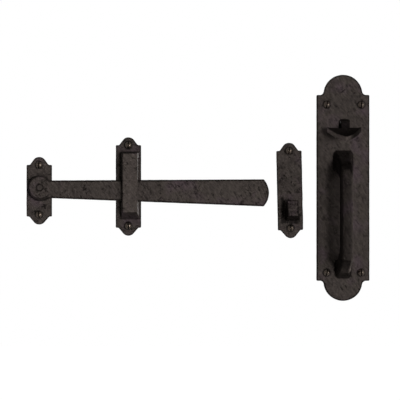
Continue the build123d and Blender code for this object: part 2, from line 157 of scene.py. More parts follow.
def waxed_cast_iron():
    """Blackened iron under wax: matt in hollows and on flanks, satin on the high spots, with
    painted shade and painted light in the colour.
    """
    material = bpy.data.materials.new("black waxed cast iron")
    tree = blank_tree(material)
    place = add(tree, "ShaderNodeTexCoord").outputs["Object"]
    relief = add(tree, "ShaderNodeAttribute", {"attribute_name": "relief"}).outputs["Fac"]
    flank = add(tree, "ShaderNodeAttribute", {"attribute_name": "flank"}).outputs["Fac"]
    worn = add(tree, "ShaderNodeAttribute", {"attribute_name": "worn"}).outputs["Fac"]
    cloud = add(tree, "ShaderNodeTexNoise", {"noise_dimensions": "4D"},
                {"Vector": place, "Scale": 1 / patch_size, "Detail": 3.0, "Roughness": 0.6})
    tint = add(tree, "ShaderNodeValToRGB", None, {"Fac": cloud.outputs["Fac"]})
    tint.color_ramp.elements[0].position = 0.32
    tint.color_ramp.elements[0].color = paint("#302b29")
    tint.color_ramp.elements[1].position = 0.68
    tint.color_ramp.elements[1].color = paint("#383032")
    middle = tint.color_ramp.elements.new(0.5)
    middle.color = paint("#332e2b")
    # Painted shade: hollows are darkened, partly as wax and partly as shade, and ridges are a
    # little lighter.
    hollow = remap(tree, relief, old=(0.0, 0.8), new=(0.3, 1.15), smooth=True)
    # Painted shade: side walls and plate outlines are darkened, to 0.15 at most.
    side = remap(tree, flank, new=(1.0, 0.15))
    depth = calc(tree, "MULTIPLY", hollow, side)
    # Painted light: chosen sides and front faces are lightened up to 2.6 times, partly as wear.
    light_and_wear_gain = remap(tree, worn, new=(1.0, 2.6))
    forward = add(tree, "ShaderNodeSeparateXYZ", None, {0: place}).outputs["Y"]
    # Darker towards the front: what stands 20 to 30 mm in front of the gate falls to half.
    darker_forward = remap(tree, forward, old=(-20 * MM, -30 * MM), new=(1.0, 0.5))
    darkened = calc(tree, "MULTIPLY", depth, darker_forward)
    matt = remap(tree, relief, new=(0.62, 0.44))
    grain = add(tree, "ShaderNodeTexNoise", None,
                {"Vector": place, "Scale": 1 / grain_size, "Detail": 4.0, "Roughness": 0.65})
    speckle = remap(tree, grain.outputs["Fac"], old=(0.3, 0.7), new=(-0.08, 0.08))
    rough = calc(tree, "ADD", matt, speckle)
    turned = add(tree, "ShaderNodeVectorRotate", {"rotation_type": "Y_AXIS"},
                 {"Vector": place, "Angle": streak_turn})
    squeezed = add(tree, "ShaderNodeVectorMath", {"operation": "DIVIDE"},
                   {0: turned, 1: streak_size})
    streaks = add(tree, "ShaderNodeTexNoise", None,
                  {"Vector": squeezed, "Scale": 1.0, "Detail": 4.0, "Roughness": 0.68})
    # The colour follows the streaks: darker in the low ones and lighter on their crests, partly as
    # wax and partly as painted shade and highlight.
    streak_wax_and_shade = remap(tree, streaks.outputs["Fac"], old=(0.32, 0.66), new=(0.76, 1.2), smooth=True)
    lit = calc(tree, "MULTIPLY", darkened, light_and_wear_gain)
    shade = calc(tree, "MULTIPLY", lit, streak_wax_and_shade)
    colour = add(tree, "ShaderNodeVectorMath", {"operation": "SCALE"},
                 {0: tint.outputs["Color"], "Scale": shade})
    streaked = add(tree, "ShaderNodeBump", None,
                   {"Height": streaks.outputs["Fac"], "Strength": 1.0, "Distance": streak_depth})
    bump = add(tree, "ShaderNodeBump", None,
               {"Height": grain.outputs["Fac"], "Strength": 0.6, "Distance": grain_depth,
                "Normal": streaked})
    shader = add(tree, "ShaderNodeBsdfPrincipled", None,
                 {"Base Color": colour, "Roughness": rough, "Normal": bump,
                  "IOR": wax_ior, "Specular IOR Level": 0.015})
    # The flanks turn matt, and their colour carries their painted shade.
    flank_diffuse = add(tree, "ShaderNodeBsdfDiffuse", None, {"Color": colour, "Normal": bump})
    skin = add(tree, "ShaderNodeMixShader", None, {0: flank, 1: shader, 2: flank_diffuse})
    add(tree, "ShaderNodeOutputMaterial", None, {"Surface": skin})
    return material


iron = waxed_cast_iron()
print("made", iron.name)

# %% [markdown]
# ## Lacquered steel for the screws
# The screws are mild steel, turned and slotted, then dipped in black lacquer.
# The dome stays smooth, so it shows small bright highlights that the iron never does.

# %% Material of the screws and pins
lacquer_ior = 1.5


def lacquered_steel():
    """Smooth black lacquer on a turned screw, a little scuffed to brown, and painted shade on the
    slot's floor.
    """
    material = bpy.data.materials.new("black lacquered screw steel")
    tree = blank_tree(material)
    place = add(tree, "ShaderNodeTexCoord").outputs["Object"]
    wear = add(tree, "ShaderNodeTexNoise", None,
               {"Vector": place, "Scale": 1 / (3 * MM), "Detail": 3.0, "Roughness": 0.6})
    tint = add(tree, "ShaderNodeValToRGB", None, {"Fac": wear.outputs["Fac"]})
    tint.color_ramp.elements[0].position = 0.35
    tint.color_ramp.elements[0].color = paint("#0f0c0b")
    tint.color_ramp.elements[1].position = 0.7
    tint.color_ramp.elements[1].color = paint("#1d1815")
    rough = remap(tree, wear.outputs["Fac"], old=(0.3, 0.7), new=(0.18, 0.28))
    bump = add(tree, "ShaderNodeBump", None,
               {"Height": wear.outputs["Fac"], "Strength": 0.4, "Distance": 0.04 * MM})
    shader = add(tree, "ShaderNodeBsdfPrincipled", None,
                 {"Base Color": tint.outputs["Color"], "Roughness": rough, "Normal": bump,
                  "IOR": lacquer_ior, "Specular IOR Level": 0.4, "Specular Tint": paint("#ffe6d0")})
    # Painted shade: the marked slot floor turns a near-black diffuse, for the shade inside the
    # slot.
    dirt = add(tree, "ShaderNodeAttribute", {"attribute_name": "dirt"}).outputs["Fac"]
    slot_shade_diffuse = add(tree, "ShaderNodeBsdfDiffuse", None, {"Color": paint("#100e0c"), "Normal": bump})
    both = add(tree, "ShaderNodeMixShader", None, {0: dirt, 1: shader, 2: slot_shade_diffuse})
    add(tree, "ShaderNodeOutputMaterial", None, {"Surface": both})
    return material


screw_steel = lacquered_steel()
print("made", screw_steel.name)

# %% [markdown]
# ## The hammered skin
# A hammered pattern is a rule, not a drawing: round dents of one size that overlap, on top of a
# slow swell. That suits Geometry Nodes. The tree below takes an even mesh and pushes each point
# inwards along its normal: a cell pattern for the hammer's face, a stretched noise for ripples, and
# thin creases where another noise crosses its middle. Three things stay flat: the back that lies on
# the gate, the seats under the screw heads, and the bores. Pushing inwards keeps the running gaps
# open. Only two things may stand out, both by less than half a millimetre: the slow wave on the
# side walls, and a mark with a negative depth. The tree also notes where the skin lies deep, for
# painted shade in the hollows; where a side wall or a plate's outline lies, for painted shade
# there; and which sides face the chosen side, for painted light and wear. It rounds the front of
# the grip to a soft crown.

# %% Geometry tree of the hammered skin


def named_inputs(tree, rows):
    """Give a geometry tree its inputs, each with a name, a kind and a default, and one output."""
    for name, kind, value in rows:
        socket = tree.interface.new_socket(name, in_out="INPUT", socket_type="NodeSocket" + kind)
        if value is not None:
            socket.default_value = value
    tree.interface.new_socket("Geometry", in_out="OUTPUT", socket_type="NodeSocketGeometry")


def hammered_skin_tree():
    """Push an even mesh in by dents, ripples, creases and marks, and note how each point lies."""
    tree = bpy.data.node_groups.new("hammered skin", "GeometryNodeTree")
    named_inputs(tree, [
        ("Geometry", "Geometry", None),
        ("Seed", "Float", 0.0),
        ("Dent Size", "Float", 5 * MM),
        ("Dent Depth", "Float", 0.2 * MM),
        ("Ripple Size", "Vector", mm(8, 8, 4)),
        ("Ripple Depth", "Float", 0.3 * MM),
        ("Ripple Turn", "Float", 0.0),
        ("Crease Size", "Vector", mm(12, 12, 6)),
        ("Crease Depth", "Float", 0.3 * MM),
        ("Wave Size", "Float", 9 * MM),
        ("Wave Depth", "Float", 0.15 * MM),
        ("Wave Centre", "Float", 0.5),
        ("Flat Level", "Float", 0.0),
        ("Edge Spread", "Int", 3),
        # How strongly the flanks are painted dark as shade.
        ("Flank Shade", "Float", 0.6),
        # Faces turned to this side, in front of the next level, are painted lighter, partly as
        # wear.
        ("Lit And Worn Side", "Vector", (0.0, 0.0, 0.0)),
        ("Lit And Worn Level", "Float", 1.0),
        # How much those faces are painted lighter.
        ("Lit And Worn Gain", "Float", 1.0),
        ("Crown Centre", "Float", 0.0),
        ("Crown Half Width", "Float", 1.0),
        ("Crown Depth", "Float", 0.0),
        ("Crown Level", "Float", 0.0),
        # How much the faces in front of the crown's level are painted lighter, partly as wear.
        ("Front Lit And Worn Gain", "Float", 0.0),
        ("Seats", "Object", None),
        ("Seat Radius", "Float", 4.5 * MM),
        ("Ring Depth", "Float", 0.3 * MM),
        ("Marks", "Object", None),
        ("Mark Width", "Float", 0.9 * MM),
        ("Mark Depth", "Float", 0.5 * MM),
        ("Material", "Material", None),
    ])
    given = add(tree, "NodeGroupInput").outputs
    place = add(tree, "GeometryNodeInputPosition")
    normal = add(tree, "GeometryNodeInputNormal")
    place_xyz = add(tree, "ShaderNodeSeparateXYZ", None, {0: place}).outputs
    height = place_xyz["Y"]
    facing = add(tree, "ShaderNodeSeparateXYZ", None, {0: normal}).outputs["Y"]

    # The hammer's dents: bowls around scattered centres, with soft ridges between them.
    dent_scale = calc(tree, "DIVIDE", 1.0, given["Dent Size"])
    cells = add(tree, "ShaderNodeTexVoronoi", {"voronoi_dimensions": "4D", "feature": "SMOOTH_F1"},
                {"Vector": place, "W": given["Seed"], "Scale": dent_scale, "Smoothness": 0.3,
                 "Randomness": 1.0})
    bowl = remap(tree, cells.outputs["Distance"], old=(0.1, 0.8), new=(1.0, 0.0), smooth=True)
    dents = calc(tree, "MULTIPLY", bowl, given["Dent Depth"])

    # Ripples: a noise that is short one way and long the other.
    rolled = add(tree, "ShaderNodeVectorRotate", {"rotation_type": "Y_AXIS"},
                 {"Vector": place, "Angle": given["Ripple Turn"]})
    stretched = add(tree, "ShaderNodeVectorMath", {"operation": "DIVIDE"},
                    {0: rolled, 1: given["Ripple Size"]})
    ripple = add(tree, "ShaderNodeTexNoise", {"noise_dimensions": "4D"},
                 {"Vector": stretched, "W": given["Seed"], "Scale": 1.0, "Detail": 3.0,
                  "Roughness": 0.55})
    fold = remap(tree, ripple.outputs["Fac"], old=(0.35, 0.65), smooth=True)
    ripples = calc(tree, "MULTIPLY", fold, given["Ripple Depth"])

    # Creases: thin grooves where a second noise crosses its middle, kept only here and there.
    drawn = add(tree, "ShaderNodeVectorMath", {"operation": "DIVIDE"},
                {0: rolled, 1: given["Crease Size"]})
    line = add(tree, "ShaderNodeTexNoise", {"noise_dimensions": "4D"},
               {"Vector": drawn, "W": given["Seed"], "Scale": 1.0, "Detail": 3.0, "Roughness": 0.6,
                "Distortion": 0.4})
    level = calc(tree, "SUBTRACT", line.outputs["Fac"], 0.5)
    away = calc(tree, "ABSOLUTE", level)
    thin = remap(tree, away, old=(0.0, 0.035), new=(1.0, 0.0), smooth=True)
    patch = remap(tree, cells.outputs["Color"], old=(0.35, 0.65), smooth=True)
    some = calc(tree, "MULTIPLY", thin, patch)
    creases = calc(tree, "MULTIPLY", some, given["Crease Depth"])

    # Single marks: grooves along the edges of a small guide mesh.
    marks = add(tree, "GeometryNodeObjectInfo", None,
                {"Object": given["Marks"]}).outputs["Geometry"]
    to_mark = add(tree, "GeometryNodeProximity", {"target_element": "EDGES"},
                  {0: marks}).outputs["Distance"]
    groove = remap(tree, to_mark, old=(0.0, given["Mark Width"]), new=(1.0, 0.0), smooth=True)
    grooves = calc(tree, "MULTIPLY", groove, given["Mark Depth"])

    # A fine groove around each screw's head, whose depth also paints the colour darker there as the
    # shade of the gap under the head.
    seats = add(tree, "GeometryNodeObjectInfo", None,
                {"Object": given["Seats"]}).outputs["Geometry"]
    to_seat = add(tree, "GeometryNodeProximity", {"target_element": "EDGES"},
                  {0: seats}).outputs["Distance"]
    past_rim = calc(tree, "SUBTRACT", to_seat, given["Seat Radius"])
    from_ring = calc(tree, "ABSOLUTE", past_rim)
    ring = remap(tree, from_ring, old=(0.0, 0.6 * MM), new=(given["Ring Depth"], 0.0), smooth=True)

    # The flanks: a slow wave along the edges. Its centre says how much of it stands out.
    turned = calc(tree, "ABSOLUTE", facing)
    flank = remap(tree, turned, old=(0.62, 0.97), new=(1.0, 0.0), smooth=True)
    # Painted light and wear: faces turned to the given side and in front of the given level;
    # elsewhere the flanks keep their painted shade.
    towards_lit_and_worn_side = add(tree, "ShaderNodeVectorMath", {"operation": "DOT_PRODUCT"},
                  {0: normal, 1: given["Lit And Worn Side"]})
    on_lit_and_worn_side = remap(tree, towards_lit_and_worn_side.outputs["Value"], old=(0.4, 0.75), smooth=True)
    stands_out = calc(tree, "LESS_THAN", height, given["Lit And Worn Level"])
    worn = calc(tree, "MULTIPLY", on_lit_and_worn_side, stands_out)
    shaded_flank = calc(tree, "SUBTRACT", flank, worn, clamp=True)
    # Painted shade: steep walls, spread a few steps onto the faces beside them, give a dark outline
    # that joins the flanks' painted shade.
    steep = remap(tree, turned, old=(0.55, 0.82), new=(1.0, 0.0), smooth=True)
    wall = calc(tree, "SUBTRACT", steep, worn, clamp=True)
    spread_wall = add(tree, "GeometryNodeBlurAttribute", None,
                      {0: wall, "Iterations": given["Edge Spread"]})
    outline = calc(tree, "MULTIPLY", spread_wall, 12.0, clamp=True)
    on_top = calc(tree, "SUBTRACT", 1.0, flank)
    outlined = calc(tree, "MULTIPLY", outline, on_top)
    flank_and_outline_shade = calc(tree, "MULTIPLY_ADD", shaded_flank, given["Flank Shade"], outlined)
    wave_scale = calc(tree, "DIVIDE", 1.0, given["Wave Size"])
    wave = add(tree, "ShaderNodeTexNoise", {"noise_dimensions": "4D"},
               {"Vector": place, "W": given["Seed"], "Scale": wave_scale, "Detail": 2.0})
    swing = remap(tree, wave.outputs["Fac"], old=(0.3, 0.7), new=(0.0, 1.0))
    sway = calc(tree, "SUBTRACT", swing, given["Wave Centre"])
    waves = calc(tree, "MULTIPLY", sway, given["Wave Depth"])
    waved = calc(tree, "MULTIPLY", waves, flank)

    # Where the skin fades out: on the back, and under the screw heads.
    off_back = calc(tree, "SUBTRACT", given["Flat Level"], height)
    clear_back = remap(tree, off_back, old=(0.2 * MM, 1.4 * MM), smooth=True)
    seat_end = calc(tree, "ADD", given["Seat Radius"], 1.2 * MM)
    clear_seat = remap(tree, to_seat, old=(given["Seat Radius"], seat_end), smooth=True)
    free = calc(tree, "MULTIPLY", clear_back, clear_seat)

    # The crown: what stands in front of its level is rounded down towards both sides of its centre.
    aside = calc(tree, "SUBTRACT", place_xyz["X"], given["Crown Centre"])
    share_aside = calc(tree, "DIVIDE", aside, given["Crown Half Width"])
    square = calc(tree, "MULTIPLY", share_aside, share_aside, clamp=True)
    in_front = calc(tree, "LESS_THAN", height, given["Crown Level"])
    front = calc(tree, "SUBTRACT", in_front, flank)
    on_front = calc(tree, "MULTIPLY", front, square, clamp=True)
    crown = calc(tree, "MULTIPLY", on_front, given["Crown Depth"])

    dented = calc(tree, "ADD", dents, ripples)
    creased = calc(tree, "ADD", dented, creases)
    on_face = remap(tree, flank, new=(1.0, 0.12))
    faces = calc(tree, "MULTIPLY", creased, on_face)
    uneven = calc(tree, "ADD", faces, waved)
    skin = calc(tree, "MULTIPLY", uneven, free)
    marked = calc(tree, "ADD", grooves, ring)
    sunk = calc(tree, "ADD", skin, marked)
    crowned = calc(tree, "ADD", sunk, crown)
    inwards = calc(tree, "MULTIPLY", crowned, -1.0)
    offset = add(tree, "ShaderNodeVectorMath", {"operation": "SCALE"},
                 {0: normal, "Scale": inwards})

    # Relief compares this point's sinking with the deepest that dents and ripples reach together.
    # Creases, marks and the screw rings lower the relief too, and the material paints low relief
    # darker: partly wax, partly painted shade.
    lines = calc(tree, "MULTIPLY_ADD", creases, 0.5, marked)
    deepest = calc(tree, "ADD", given["Dent Depth"], given["Ripple Depth"])
    part_deep = calc(tree, "DIVIDE", dented, deepest)
    line_share = calc(tree, "DIVIDE", lines, 0.35 * MM)
    share = calc(tree, "MULTIPLY_ADD", part_deep, 0.5, line_share)
    relief = calc(tree, "SUBTRACT", 1.0, share, clamp=True)

    with_relief = add(tree, "GeometryNodeStoreNamedAttribute", {"domain": "POINT"},
                      {"Geometry": given["Geometry"], "Name": "relief", "Value": relief})
    with_flank = add(tree, "GeometryNodeStoreNamedAttribute", {"domain": "POINT"},
                     {"Geometry": with_relief, "Name": "flank", "Value": flank_and_outline_shade})
    # Painted light and wear: the lit sides and the front faces are stored together.
    front_light_and_wear = calc(tree, "MULTIPLY", front, given["Front Lit And Worn Gain"])
    side_light_and_wear = calc(tree, "MULTIPLY", worn, given["Lit And Worn Gain"])
    all_light_and_wear = calc(tree, "MAXIMUM", side_light_and_wear, front_light_and_wear)
    with_worn = add(tree, "GeometryNodeStoreNamedAttribute", {"domain": "POINT"},
                    {"Geometry": with_flank, "Name": "worn", "Value": all_light_and_wear})
    moved = add(tree, "GeometryNodeSetPosition", None, {"Geometry": with_worn, "Offset": offset})
    smooth = add(tree, "GeometryNodeSetShadeSmooth", None, {"Geometry": moved})
    finished = add(tree, "GeometryNodeSetMaterial", None,
                   {"Geometry": smooth, "Material": given["Material"]})
    add(tree, "NodeGroupOutput", None, {0: finished})
    return tree


skin_tree = hammered_skin_tree()
print("skin tree has", len(skin_tree.nodes), "nodes")

# %% [markdown]
# ## Dressing a casting
# The model's mesh is made of long thin triangles, which can't be dented. A voxel remesh turns a
# copy of it into small even squares first, and the skin tree then works on those. The result is
# read back as a plain mesh, so no modifier is left, and it replaces the model's node.

# %% Helpers for the castings


def guide_mesh(name, segments):
    """A helper object of loose edges, for the skin tree to measure distances from."""
    mesh = bpy.data.meshes.new(name)
    points = [Vector(p) * MM for segment in segments for p in segment]
    edges = [(i, i + 1) for i in range(0, len(points), 2)]
    mesh.from_pydata(points, edges, [])
    helper = bpy.data.objects.new(name, mesh)
    bpy.context.scene.collection.objects.link(helper)
    return helper


def socket_ids(tree):
    """The identifier of each named input of a geometry tree."""
    inputs = [item for item in tree.interface.items_tree if item.in_out == "INPUT"]
    return {item.name: item.identifier for item in inputs}


def screw_axes(node_names):
    """A short segment along the axis of each named screw, in mm, from its head to the gate."""
    found = []
    for name in node_names:
        low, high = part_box(name)
        x, z = (low.x + high.x) / 2 / MM, (low.z + high.z) / 2 / MM
        found.append(((x, -12.0, z), (x, 4.0, z)))
    return found


def plain_mesh(thing, name):
    """What an object's modifiers make of it, as a mesh of its own."""
    graph = bpy.context.evaluated_depsgraph_get()
    mesh = bpy.data.meshes.new_from_object(thing.evaluated_get(graph),
                                           preserve_all_data_layers=True, depsgraph=graph)
    mesh.name = name
    return mesh


def dressed_casting(node_name, body, voxel, sizes, seats=(), marks=()):
    """Replace a node of the model by its hammered twin."""
    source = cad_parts[node_name].data.copy()
    shape = bmesh.new()
    shape.from_mesh(source)
    bmesh.ops.remove_doubles(shape, verts=shape.verts, dist=0.001 * MM)
    shape.to_mesh(source)
    shape.free()
    piece = bpy.data.objects.new("iron_" + node_name, source)
    bpy.context.scene.collection.objects.link(piece)
    remesh = piece.modifiers.new("even mesh", "REMESH")
    remesh.mode = "VOXEL"
    remesh.voxel_size = voxel
    skin = piece.modifiers.new("hammered skin", "NODES")
    skin.node_group = skin_tree
    far_away = [((0, 900, 0), (0, 901, 0))]
    helpers = {
        "Seats": guide_mesh("seats of " + node_name, list(seats) or far_away),
        "Marks": guide_mesh("marks of " + node_name, list(marks) or far_away),
    }
    ids = socket_ids(skin_tree)
    for key, value in {**sizes, **helpers, "Material": iron}.items():
        skin[ids[key]] = value
    made = plain_mesh(piece, "iron_" + node_name)
    piece.modifiers.clear()
    piece.data = made
    for helper in helpers.values():
        bpy.data.objects.remove(helper)
    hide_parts(node_name)
    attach(piece, body)
    print(piece.name, "has", sum(len(p.vertices) - 2 for p in made.polygons), "triangles")


# %% [markdown]
# ## The plates
# Each plate came from its own pattern, so each gets its own seed and its own balance of dents and
# ripples. The handle plate is nearly smooth, the catch is the most rippled, and the guide lies
# between them.

# %% Levels and places that the marks use, in mm
plate_face = -3.5       # front of the three small plates
handle_face = -4        # front of the handle plate
bar_low, bar_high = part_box("latch_bar")
bar_front = bar_low.y / MM
rivet_low, rivet_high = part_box("pivot_rivet")
pivot = Vector(((rivet_low.x + rivet_high.x) / 2, 0, (rivet_low.z + rivet_high.z) / 2)) / MM
boss_radius = pivot.x - bar_low.x / MM
no_back = 200 * MM      # a flat level far behind a piece, so that the skin covers its back too


def arc_marks(radius, level, first):
    """Marks along an arc around the pivot, from the first angle to 320 degrees."""
    turns = [radians(degrees) for degrees in range(first, 321, 15)]
    arc = [Vector((pivot.x + radius * cos(a), level, pivot.z + radius * sin(a))) for a in turns]
    return list(zip(arc, arc[1:]))


print("the bar turns at", [round(v, 1) for v in pivot], "mm, and its boss has a radius of",
      round(boss_radius, 1))

# %% Pivot plate
pivot_screws = screw_axes(["pivot_screw_top", "pivot_screw_bottom"])
pivot_marks = [((-331, plate_face, -18), (-329.6, plate_face, -21.5))]
# Painted shadow: an arc of grooves under the boss darkens the plate where the boss's shadow falls.
boss_shadow_arc = arc_marks(boss_radius + 0.6, plate_face, 185)
# Painted light: the pivot plate's front faces are lightened a little, partly as wear.
dressed_casting(
    "pivot_plate", "plates", 0.42 * MM,
    {"Seed": 1.3, "Dent Depth": 0.12 * MM, "Ripple Size": mm(6, 6, 2.6), "Ripple Depth": 0.7 * MM,
     "Ripple Turn": radians(20), "Crease Size": mm(8, 8, 4.5), "Crease Depth": 0.5 * MM,
     "Wave Centre": 0.0, "Mark Width": 2.0 * MM, "Crown Level": -2 * MM, "Front Lit And Worn Gain": 0.1},
    pivot_screws, pivot_marks + boss_shadow_arc)

# %% Guide plate
guide_screws = screw_axes(["guide_screw_top", "guide_screw_bottom"])
# Painted light: the staple's right-facing sides and its front are lightened, partly as wear.
dressed_casting(
    "guide_plate", "plates", 0.45 * MM,
    {"Seed": 2.7, "Dent Depth": 0.12 * MM, "Ripple Size": mm(6, 6, 3), "Ripple Depth": 0.7 * MM,
     "Ripple Turn": radians(-15), "Crease Size": mm(9, 9, 5), "Crease Depth": 0.45 * MM,
     "Wave Depth": 0.25 * MM, "Flank Shade": 0.5, "Lit And Worn Side": (0.8, 0.0, 0.0), "Lit And Worn Level": -6 * MM,
     "Lit And Worn Gain": 0.2, "Crown Level": -12.5 * MM, "Front Lit And Worn Gain": 0.26},
    guide_screws)

# %% Catch plate
catch_screws = screw_axes(["catch_screw_top", "catch_screw_bottom"])
# Painted shade: wide shallow grooves beside and below the hook darken the plate around its foot.
hook_shade_marks = [((-67.5, plate_face, -12), (-67.0, plate_face, -35)),
              ((-67.0, plate_face, -36.5), (-52, plate_face, -36.5)),
              ((-49.5, plate_face, -30), (-49.5, plate_face, -36))]
# The catch's flanks are painted dark as shade, most strongly of the plates.
dressed_casting(
    "catch_plate", "plates", 0.42 * MM,
    {"Seed": 4.1, "Dent Depth": 0.15 * MM, "Ripple Size": mm(6, 6, 2.8), "Ripple Depth": 1.2 * MM,
     "Ripple Turn": radians(-20), "Crease Size": mm(7, 7, 4), "Crease Depth": 0.6 * MM,
     "Wave Depth": 0.35 * MM, "Flank Shade": 0.9, "Mark Width": 3.6 * MM, "Mark Depth": 0.3 * MM},
    catch_screws, hook_shade_marks)

# %% Handle plate with its grip
handle_screws = screw_axes(["handle_screw_" + corner for corner in
                            ("top_left", "top_right", "bottom_left", "bottom_right")])
handle_marks = [((-3.0, handle_face, 106), (0.8, handle_face, 109)),
                ((11, handle_face, 105), (11.8, handle_face, 105.6)),
                ((-4.0, handle_face, -108.5), (-1.5, handle_face, -111.5)),
                ((1.5, handle_face, -107), (2.8, handle_face, -109.5))]
# Painted light: the grip's faces turned right and down are lightened, partly as wear; its flanks
# are painted dark as shade.
dressed_casting(
    "handle_plate", "plates", 0.66 * MM,
    {"Seed": 6.2, "Dent Depth": 0.08 * MM, "Ripple Size": mm(3.2, 8, 6), "Ripple Depth": 0.6 * MM,
     "Ripple Turn": radians(25), "Crease Size": mm(6, 9, 12), "Crease Depth": 0.3 * MM,
     "Wave Centre": 0.0, "Edge Spread": 4, "Lit And Worn Side": (0.72, -0.2, -0.46), "Lit And Worn Level": -14 * MM,
     "Lit And Worn Gain": 0.6, "Flank Shade": 0.8, "Crown Centre": 3.0 * MM, "Crown Half Width": 8.0 * MM,
     "Crown Depth": 2.4 * MM, "Crown Level": -24 * MM},
    handle_screws, handle_marks)

# %% [markdown]
# ## The pieces that move
# The bar is drawn down under the hammer, so its dents are the deepest, and an arc of marks paints
# its boss's lower rim darker as shade. The thumb lever is handled every day and is the smoothest
# piece, and its lips are painted lighter, partly as wear and partly as painted light. A mark with a
# negative depth stands out: it gives the neck's upper corner a burr, so that no daylight shows
# beside it in the slot.

# %% Latch bar
bar_marks = [((-285, bar_front, 4.5), (-286.5, bar_front, 1.0)),
             ((-284, bar_front, 0), (-287, bar_front, -2))]
# Painted shade: an arc of marks on the boss's lower rim darkens it.
boss_rim_shade_arc = arc_marks(boss_radius - 0.7, bar_front, 200)
# Painted light: the bar's front is lightened a little, partly as wear.
dressed_casting(
    "latch_bar", "bar", 0.5 * MM,
    {"Seed": 9.4, "Dent Depth": 0.2 * MM, "Ripple Size": mm(2.8, 8, 6.5), "Ripple Depth": 0.9 * MM,
     "Ripple Turn": radians(35), "Crease Size": mm(4.5, 9, 10), "Crease Depth": 0.6 * MM,
     "Wave Depth": 0.12 * MM, "Flat Level": bar_high.y, "Seat Radius": 3.7 * MM, "Ring Depth": 0.0,
     "Edge Spread": 2, "Flank Shade": 0.5, "Crown Level": bar_low.y + 2 * MM, "Front Lit And Worn Gain": 0.1},
    [((pivot.x, -20.0, pivot.z), (pivot.x, 4.0, pivot.z))], bar_marks + boss_rim_shade_arc)

# %% Pivot rivet
dressed_casting(
    "pivot_rivet", "plates", 0.22 * MM,
    {"Seed": 3.3, "Dent Depth": 0.05 * MM, "Ripple Depth": 0.08 * MM, "Crease Depth": 0.0,
     "Wave Depth": 0.0, "Flat Level": no_back, "Edge Spread": 1})

# %% Thumb lever
burrs = [((4.5, handle_face, 75.0), (4.5, 2.0, 75.0)), ((4.7, 2.5, 75.0), (4.7, 4.0, 76.5))]
# Painted light: the lever's faces turned forward, down and left are lightened, partly as wear; its
# flanks are painted dark as shade.
dressed_casting(
    "thumb_lever", "lever", 0.42 * MM,
    {"Seed": 12.5, "Dent Size": 6 * MM, "Dent Depth": 0.08 * MM, "Ripple Size": mm(9, 9, 9),
     "Ripple Depth": 0.1 * MM, "Crease Depth": 0.0, "Wave Centre": 0.0, "Wave Depth": 0.1 * MM,
     "Flat Level": no_back, "Lit And Worn Side": (-0.36, -0.86, -0.55), "Flank Shade": 0.85,
     "Mark Width": 1.6 * MM, "Mark Depth": -0.3 * MM},
    marks=burrs)

# %% [markdown]
# ## The wood screws
# Ten equal screws hold the plates. One tree makes a screw from two simple solids and sets it at
# every place: a ball pressed into a round head, with a slot cut by a box, and a cylinder whose
# radius follows the thread. A thread is a rule too: the radius depends on the height and the turn,
# so a plain cylinder only needs to be moved.

# %% Geometry tree of the screws


